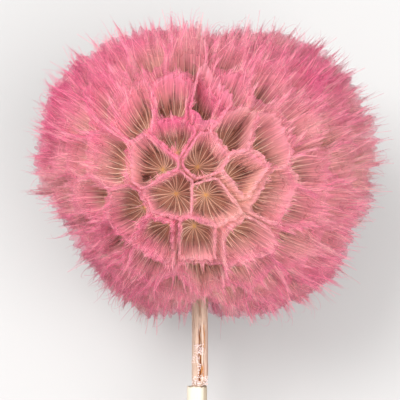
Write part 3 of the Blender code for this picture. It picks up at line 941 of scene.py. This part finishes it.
stem = {
    "sides": 44,
    "rows": 90,
    "neckRows": 10,
    "crowding": 0.55,  # how much closer its sides stand near the split
    "radii": (0.00215, 0.00238),  # at its top and foot
    "ribs": ((7, 0.018, 1.0), (13, 0.012, 2.2), (23, 0.008, 4.0)),  # how many, how high, turned by
    "ribSway": (0.6, 210),  # radians by which they wander, and how often
    "splits": (  # from y to y, turn, half width in radians, depth
        (-0.0415, -0.0590, 0.02, 0.16, 0.00125),
        (-0.0515, -0.0572, 0.44, 0.10, 0.00060),
        (-0.0400, -0.0500, 0.60, 0.06, 0.00025),
    ),
    "splitEnds": (0.0035, 0.0015),  # over which they open at their top and foot
    "splitSway": (0.05, 900, 9),  # radians by which they wander, how often, and how unlike each other
    "ridge": (0.26, 0.09, 0.00016),  # turn, half width, height, beside the split
    "ridgeStart": (-0.036, 0.006),  # y, and over what length it rises
    "shade": 0.13,  # painted shade: how much darker its right side is drawn, as the light comes from the left
    "shaded": (0.75, 2.4, 0.6),  # from turn to turn, and over what turn that comes and goes
    "neck": (-0.0575, -0.0605),  # over which it narrows into the reed
    "neckPower": 0.8,
    "pegRadius": 0.00142,
    "grain": 30,
    "crust": (  # from y to y, turn from, turn to, how many lumps
        (-0.0472, -0.0502, -0.75, 0.52, 130),
        (-0.0502, -0.0528, -1.20, -0.08, 60),
        (-0.0528, -0.0566, -0.28, 0.12, 26),
        (-0.0566, -0.0592, -1.25, 1.25, 170),
    ),
    "lump": (0.00010, 0.00026),
    "lumpDepth": 0.00005,  # of its middle under the skin
    "lumpTone": (0.80, 1.0),
    "fibres": 26,
    "fibreTop": -0.040,
    "fibreTurn": (-1.3, 1.3),
    "fibreLength": (0.003, 0.009),
    "fibreStray": (0.03, 0.06),  # radians at its middle and its end
    "fibreLift": 0.00018,
    "fibreWidth": 0.00006,
    "fibreTone": (0.55, 0.9),
}


def addStem():
    # radius = radius at y * (1 + ribs) - depth * exp(-((turn - split's turn) / half width)^2) + ridge, then
    # it narrows into the reed; tone 0.5 is skin, 0 the split's inside, 1 crust and ridge
    rng = np.random.default_rng(7)
    top, end = alongStem(stemHigh[1], -stem["radii"][0]), alongStem(stemLow[1], stem["pegRadius"])
    neckTop, neckEnd = stem["neck"]
    bare, neck = np.linspace(top, neckTop, stem["rows"]), np.linspace(neckTop, neckEnd, stem["neckRows"])
    y = np.concatenate((bare, neck[1:], (end,)))[:, None]
    turn = np.linspace(-math.pi, math.pi, stem["sides"], endpoint=False)[None]
    turn = turn - stem["crowding"] * np.sin(turn)
    radius = np.interp((y - top) / (neckTop - top), (0, 1), stem["radii"]) + 0 * turn
    sway, often = stem["ribSway"]
    for many, high, off in stem["ribs"]:
        radius = radius * (1 + high * np.sin(many * turn + off + sway * np.sin(y * often)))
    # painted shade: the tone is lowered on the right side, between these turns, as the light comes from the
    # left
    left, right, ease = stem["shaded"]
    coming, going = np.clip((turn - left) / ease, 0, 1), np.clip((right - turn) / ease, 0, 1)
    tone = 0.5 - stem["shade"] * coming * going + 0 * radius
    topEase, footEase = stem["splitEnds"]
    sway, often, unlike = stem["splitSway"]
    for high, low, at, wide, deep in stem["splits"]:
        opened = np.clip(np.minimum((high - y) / topEase, (y - low) / footEase), 0, 1)
        at = at + sway * np.sin(y * often + at * unlike)
        cut = np.exp(-(((turn - at) / wide) ** 2)) * opened
        radius = radius - deep * cut
        tone = tone - 0.5 * np.clip(cut * 1.4, 0, 1)
    at, wide, high = stem["ridge"]
    start, run = stem["ridgeStart"]
    ridge = np.exp(-(((turn - at) / wide) ** 2)) * np.clip((start - y) / run, 0, 1)
    radius = radius + high * ridge
    tone = tone + 0.35 * ridge * (tone > 0.3)
    inside = np.clip((neckTop - y) / (neckTop - neckEnd), 0, 1)
    radius = radius + (stem["pegRadius"] - radius) * inside ** stem["neckPower"]
    points, triangles = closedSkin(roundAbout(radius, turn, y, reedX * inside))
    tone = np.concatenate((tone.ravel(), (0.4, 0.4)))
    grain = np.stack(np.broadcast_arrays(np.sin(turn), np.cos(turn), y * stem["grain"]), -1).reshape(-1, 3)
    bundle = Bundle()
    bundle.add(toWorld(points), triangles, tone, 0.5, grain=np.concatenate((grain, grain[:2])))
    skin = stem["radii"][1]
    for high, low, left, right, many in stem["crust"]:
        place, around = rng.uniform(low, high, many), rng.uniform(left, right, many)
        size = rng.uniform(*stem["lump"], many)
        middle = roundAbout(skin - stem["lumpDepth"], around, place)
        points, triangles = blobs(toWorld(middle), size, rng)
        bundle.add(points, triangles, rng.uniform(*stem["lumpTone"], (many, 1)), 0.5)
    many = stem["fibres"]
    place, around = rng.uniform(neckTop, stem["fibreTop"], many), rng.uniform(*stem["fibreTurn"], many)
    long = rng.uniform(*stem["fibreLength"], many)
    middleStray, endStray = (rng.normal(0, stray, many) for stray in stem["fibreStray"])
    start = roundAbout(skin, around, place)
    middle = roundAbout(skin + stem["fibreLift"], around + middleStray, place + long / 2)
    finish = roundAbout(skin, around + endStray, place + long)
    wide = np.full((many, 1), stem["fibreWidth"])
    places = (toWorld(p) for p in (start, middle, finish))
    points, triangles = strands(*places, roundAbout(1.0, around, 0.0) @ headAxes, wide, wide)
    bundle.add(points, triangles, rng.uniform(*stem["fibreTone"], (many, 1)), 0.5)
    return bundle.piece("stem", (dryMaterial("dried stem", stemColours),))


reed = {
    "sides": 36,
    "rows": 40,
    "crowding": 1.4,  # how much closer its rows stand near its top
    "facets": (5, 0.05, 1.1),  # how many flats, how deep, turned by
    "ribs": ((17, 0.004, 0.3), (31, 0.003, 1.9)),
    "rounding": (0.03, 260),  # how much narrower its top edge is, and how soon that has passed
    "bore": 0.0018,
    "mouth": 0.00235,  # bore at its cut top
    "mouthDepth": 0.003,
    "lip": 0.0002,  # how far its inner edge is below the outer one
    "footDepth": 0.002,  # of the bore's second ring over its foot
    "slant": 0.05,
    "ragged": 0.00014,
    "ownTop": 0.02,  # share of its length that slant and raggedness move
    "shade": 0.5,  # painted shade: how much darker its right side is drawn, as the light comes from the left
    "shaded": (0.6, 0.25),  # turn where that starts, and over what turn it comes
    "grain": 14,
}


def addReed():
    # a tube: outer radius = reedRadius * (1 - facets + ribs), inner radius = bore, wider at the cut top; its
    # top falls by slant * x and is ragged
    rng = np.random.default_rng(11)
    top, end = alongStem(reedHigh[1], -reedRadius), alongStem(reedLow[1], reedRadius)
    turn = np.linspace(-math.pi, math.pi, reed["sides"], endpoint=False)[None]
    many, deep, off = reed["facets"]
    outer = reedRadius * (1 - deep * (0.5 + 0.5 * np.cos(many * turn + off)))
    for many, high, off in reed["ribs"]:
        outer = outer * (1 + high * np.sin(many * turn + off))
    cut = rng.normal(0, reed["ragged"], reed["sides"])
    cut = (np.roll(cut, 1) + cut)[None]
    fall = reed["slant"] * (reedRadius * np.sin(turn) - reedRadius) + cut
    along = np.linspace(0, 1, reed["rows"])[:, None] ** reed["crowding"]
    y = top + (end - top) * along
    narrower, soon = reed["rounding"]
    rounded = 1 - narrower * np.exp(-along * soon)
    outside = roundAbout(outer * rounded, turn, y + fall * (along < reed["ownTop"]), reedX)
    boreY = np.array((end, end + reed["footDepth"], top - reed["mouthDepth"]))[:, None]
    inside = roundAbout(reed["bore"], turn, boreY, reedX)
    mouth = roundAbout(reed["mouth"], turn, top - reed["lip"] + fall, reedX)
    rings = np.concatenate((outside, inside, mouth))
    steps, sides = rings.shape[:2]
    points = rings.reshape(-1, 3)
    triangles = turnedOut(points, wrappedQuads(steps + 1, sides) % (steps * sides))
    # painted shade: the outside's tone is lowered on the right side, as the light comes from the left
    start, ease = reed["shaded"]
    skin = 0.75 - reed["shade"] * np.clip((turn - start) / ease, 0, 1) + 0 * outside[..., 0]
    # painted shade: the bore grows darker from its cut top (0.5) down into the tube (0.1), standing for the
    # shade inside it
    tone = np.concatenate((skin.ravel(), np.full(len(inside) * sides, 0.1), np.full(sides, 0.5)))
    grain = np.stack(np.broadcast_arrays(np.sin(turn), np.cos(turn), rings[..., 1] * reed["grain"]), -1)
    bundle = Bundle()
    bundle.add(toWorld(points), triangles, tone, 0.5, grain=grain.reshape(-1, 3))
    return bundle.piece("reed", (dryMaterial("cream reed", reedColours),))


bract = {
    "many": 8,
    "steps": 26,
    "columns": 13,
    "top": -0.0035,
    "radii": (0.0046, 0.0030),  # of its inner face about the stem, at its fold and its tip
    "bulge": (0.0007, 0.4),  # how far it bows out, over what share of its length
    "hug": 0.8,
    "width": 0.0030,
    "tipWidth": 0.00012,
    "taper": 1.6,
    "thickness": 0.00030,
    "thinner": (0.85, 0.6),  # how much thinner it is at its edges and at its tip
    "veins": 0.00005,
    "wave": (0.00025, 17),  # how high its edges wave, and how often
    "twist": (0.10, 5),
    "grain": (2.0, 40),  # across and along it
}


def addBract(index):
    # Along it: width * (1 - along^taper), about the stem at the radius from fold to tip + bulge; across it:
    # veins, and thick in its middle and thin at its edges. Its tip is where its CAD node's box ends.
    rng = np.random.default_rng(40 + index)
    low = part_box(f"bract_{index + 1}")[0]
    middleTurn = math.tau * index / bract["many"]
    tipY = alongStem(low[1], bract["radii"][1] * math.cos(middleTurn))
    along = np.linspace(0, 1, bract["steps"])[:, None]
    across = np.linspace(-1, 1, bract["columns"])[None]
    y = bract["top"] + (tipY - bract["top"]) * along
    bulge, run = bract["bulge"]
    radius = np.interp(along ** bract["hug"], (0, 1), bract["radii"])
    radius = radius + bulge * np.sin(math.pi * np.minimum(1, along / run))
    width = bract["width"] * (1 - along ** bract["taper"]) + bract["tipWidth"]
    high, often = bract["wave"]
    wave = high * np.sin(along * often + rng.uniform(0, 6)) * across * np.sin(math.pi * along)
    far, often = bract["twist"]
    twist = far * np.sin(along * often + rng.uniform(0, 6)) * along * (1 - along)
    turn = middleTurn + across * width / 2 / radius + twist
    veins = bract["veins"] * np.cos(across * math.pi * 4)
    atEdge, atTip = bract["thinner"]
    half = bract["thickness"] / 2 * (1 - atEdge * across**2) * (1 - atTip * along)
    outer = roundAbout(radius + wave + half + veins, turn, y)
    inner = roundAbout(radius + wave - half, turn, y)
    points, triangles = closedSkin(np.concatenate((outer, inner[:, ::-1]), axis=1))
    place = np.concatenate((across, across[:, ::-1]), axis=1) + 0 * along
    tone = np.concatenate(((0.55 - 0.25 * np.abs(place)).ravel(), (0.4, 0.4)))
    wide, long = bract["grain"]
    grain = np.stack(np.broadcast_arrays(place * wide, float(index), y * long), -1).reshape(-1, 3)
    grain = np.concatenate((grain, grain[:1], grain[-1:]))
    bundle = Bundle()
    bundle.add(toWorld(points), triangles, tone, 0.5, grain=grain)
    return bundle.piece(f"bract_leaf_{index + 1}", (bractMaterial,))


receptacle = {
    "sides": 48,
    "rows": 22,
    "firstRow": 0.06,  # radians from its top
    "bumps": 0.00022,
    "bumpWidth": 0.0011,
    "under": ((0.0049, -0.0031), (0.0039, -0.0037), (0.00245, -0.0044)),  # radius and y in to the stem
    "grain": 400,
}


def addReceptacle():
    # a turned dome, then drawn in to the stem: radius + bumps * sum of exp(-(distance to a foot / width)^2)
    lowest = math.radians(headShape["lowestFoot"])
    polar = np.linspace(receptacle["firstRow"], lowest, receptacle["rows"])[:, None]
    turn = np.linspace(-math.pi, math.pi, receptacle["sides"], endpoint=False)[None]
    towards = roundAbout(np.sin(polar), turn, np.cos(polar))
    feet = np.array([footPoint(d) for d in middles])
    high, wide = receptacle["bumps"], receptacle["bumpWidth"]
    away = np.linalg.norm(towards[:, :, None] * knobRadius - feet, axis=-1)
    bumps = high * np.exp(-((away / wide) ** 2)).sum(axis=-1)
    dome = towards * (knobRadius - high + np.minimum(bumps, high * 0.9))[..., None]
    under = np.array([roundAbout(radius, turn[0], y) for radius, y in receptacle["under"]])
    points, triangles = closedSkin(np.concatenate((dome, under)))
    plain = np.full(len(points) - bumps.size, 0.4)
    tone = np.concatenate(((0.35 + bumps / high * 0.35).ravel(), plain))
    bundle = Bundle()
    bundle.add(toWorld(points), triangles, tone, 0.5, grain=points * receptacle["grain"])
    return bundle.piece("receptacle_knob", (dryMaterial("receptacle", receptacleColours),))


stemColours = {
    "stops": (
        (0.0, (0.24, 0.07, 0.02)),
        (0.18, (0.66, 0.28, 0.06)),
        (0.32, (0.36, 0.21, 0.17)),
        (0.42, (0.42, 0.27, 0.21)),
        (0.52, (0.58, 0.41, 0.31)),
        (0.72, (0.76, 0.57, 0.44)),
        (0.85, (0.82, 0.66, 0.60)),
        (1.0, (0.84, 0.68, 0.68)),
    ),
    "shift": 0.68,
    "fine": 9.0,
    "bump": 0.25,
    "roughness": 0.7,
}
reedColours = {
    "stops": (
        (0.0, (0.24, 0.17, 0.11)),
        (0.3, (0.46, 0.38, 0.27)),
        (0.55, (0.60, 0.53, 0.41)),
        (0.75, (0.68, 0.61, 0.49)),
        (1.0, (0.74, 0.69, 0.59)),
    ),
    "shift": 0.60,
    "fine": 10.0,
    "bump": 0.12,
    "roughness": 0.55,
}
bractColours = {
    "stops": (
        (0.0, (0.16, 0.07, 0.05)),
        (0.35, (0.36, 0.19, 0.13)),
        (0.6, (0.52, 0.33, 0.24)),
        (1.0, (0.72, 0.54, 0.42)),
    ),
    "shift": 0.8,
    "fine": 5.0,
    "bump": 0.3,
    "roughness": 0.75,
}
receptacleColours = {
    "stops": ((0.0, (0.12, 0.06, 0.04)), (0.5, (0.34, 0.19, 0.12)), (1.0, (0.60, 0.42, 0.30))),
    "shift": 0.6,
    "fine": 1.0,
    "bump": 0.2,
    "roughness": 0.85,
}


def longGrain():
    # value = tone + shift * (noise - 0.5), height = noise, both read at the grain, which is stretched along
    # the piece
    tree, given, result = newGroup(
        "long grain",
        {"tone": "Float", "grain": "Vector", "fine": "Float", "shift": "Float"},
        {"value": "Float", "height": "Float"},
    )
    fibre = noise(tree, given["grain"], given["fine"], 4.0, 0.65)
    centred = calculated(tree, "SUBTRACT", fibre, 0.5)
    value = calculated(tree, "MULTIPLY_ADD", centred, given["shift"], given["tone"])
    fill(tree, result["value"], value)
    fill(tree, result["height"], fibre)
    return tree


longGrainGroup = longGrain()


bumpDepth = 0.0002  # how deep the grain is at full bump


def dryMaterial(name, colours):
    made, tree, shader = newMaterial(name, colours["roughness"])
    effect = node(
        tree, "ShaderNodeGroup", node_tree=longGrainGroup, fine=colours["fine"], shift=colours["shift"],
        tone=attribute(tree, "tone"), grain=attribute(tree, "grain", "Vector"),
    )
    dry = colourRamp(tree, effect.outputs["value"], colours["stops"])
    fill(tree, shader.inputs["Base Color"], dry)
    height = effect.outputs["height"]
    bump = node(tree, "ShaderNodeBump", Strength=colours["bump"], Distance=bumpDepth, Height=height)
    fill(tree, shader.inputs["Normal"], bump.outputs["Normal"])
    return made


bractMaterial = dryMaterial("dry bract", bractColours)
dryPieces = [
    (addStem(), "flower_stem", "stem"),
    (addReed(), "reed_sleeve", "reed"),
    (addReceptacle(), "receptacle", "receptacle"),
]
dryPieces += [(addBract(index), f"bract_{index + 1}", "bract") for index in range(bract["many"])]
for piece, name, slot in dryPieces:
    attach(piece, "root")
    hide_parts(name)
    total += len(piece.data.polygons)
    print(piece.name, len(piece.data.polygons), "triangles")
print("all pieces:", total, "triangles")

studio = {
    "floorSize": 6,
    "floorColour": (0.50, 0.495, 0.49),
    "floorRoughness": 0.9,
    "distance": 0.45,
    "width": 0.116,  # of the view, at the ball's middle
    "aim": (0.0, -0.00566, 0.0),  # in the head's own axes
    "sensor": 36,
    "nearAndFar": (0.01, 20),
    "lights": (
        # x, y, z in the head's own axes, size, watts
        (-0.42, 0.42, 0.80, 0.5, 7.8),
        (0.40, -0.14, 0.80, 0.7, 6.0),
    ),
    "sky": 0.90,
}


def addStudio():
    # a flat floor, soft lamps turned to the ball's middle, an even sky, and a camera that looks square to the
    # stem, with lens = sensor width * distance / width of the view
    bpy.ops.mesh.primitive_plane_add(size=studio["floorSize"])
    floor = bpy.context.object
    floor.name = "floor"
    paint, tree, shader = newMaterial("pale floor", studio["floorRoughness"])
    fill(tree, shader.inputs["Base Color"], (*studio["floorColour"], 1))
    floor.data.materials.append(paint)
    for index, (x, y, z, size, watts) in enumerate(studio["lights"]):
        lamp = bpy.data.lights.new(f"soft light {index}", "AREA")
        lamp.size = size
        lamp.energy = watts
        holder = placed(lamp.name, lamp)
        holder.location = place = toWorld(np.array((x, y, z)))
        holder.rotation_mode = "QUATERNION"
        holder.rotation_quaternion = Vector(headMiddle - place).to_track_quat("-Z", "Y")
    world = bpy.data.worlds.new("soft room")
    world.use_nodes = True
    sky = world.node_tree.nodes["Background"]
    sky.inputs["Color"].default_value = (1, 1, 1, 1)
    sky.inputs["Strength"].default_value = studio["sky"]
    bpy.context.scene.world = world
    camera = bpy.data.cameras.new("camera")
    camera.sensor_width = studio["sensor"]
    camera.lens = camera.sensor_width * studio["distance"] / studio["width"]
    camera.clip_start, camera.clip_end = studio["nearAndFar"]
    holder = placed("camera", camera)
    holder.location = toWorld(np.array(studio["aim"]) + (0, 0, studio["distance"]))
    holder.rotation_euler = (tilt, 0, 0)
    bpy.context.scene.camera = holder
    bpy.context.scene.view_settings.view_transform = "Standard"


addStudio()
print("floor, lights and camera")
